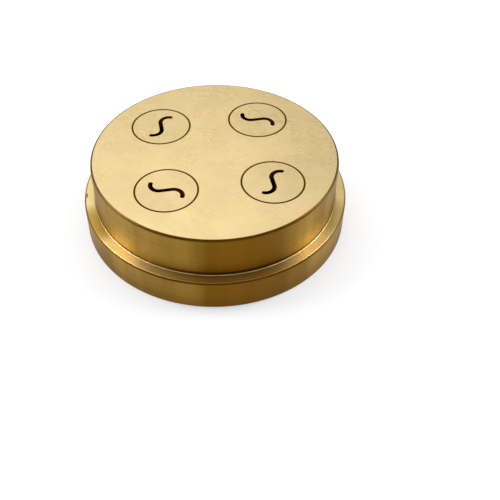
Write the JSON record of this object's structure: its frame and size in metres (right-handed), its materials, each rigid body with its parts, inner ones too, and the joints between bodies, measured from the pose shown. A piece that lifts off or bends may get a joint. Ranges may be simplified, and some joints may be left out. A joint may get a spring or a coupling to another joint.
{
  "type": "pasta extrusion die",
  "caption": "Flanged brass pasta die: a turned round body with inserts flush in its exit face, each with an S-shaped slot that winds through its land and twists the dough.",
  "frame": {"origin": "centre of the rear face, on the die's axis", "axes": "+Z along the die's axis, the way the dough leaves; -Y is the side that faces the viewer"},
  "size_m": [0.06, 0.06, 0.0172],
  "materials": {
    "body_brass": "turned walls, satin sanded exit face",
    "insert_brass": "satin sanded face, bored chamber"
  },
  "bodies": {
    "root": {"die_body": "body_brass", "insert_back_right": "insert_brass", "insert_back_left": "insert_brass", "insert_front_left": "insert_brass", "insert_front_right": "insert_brass"}
  },
  "joints": []
}
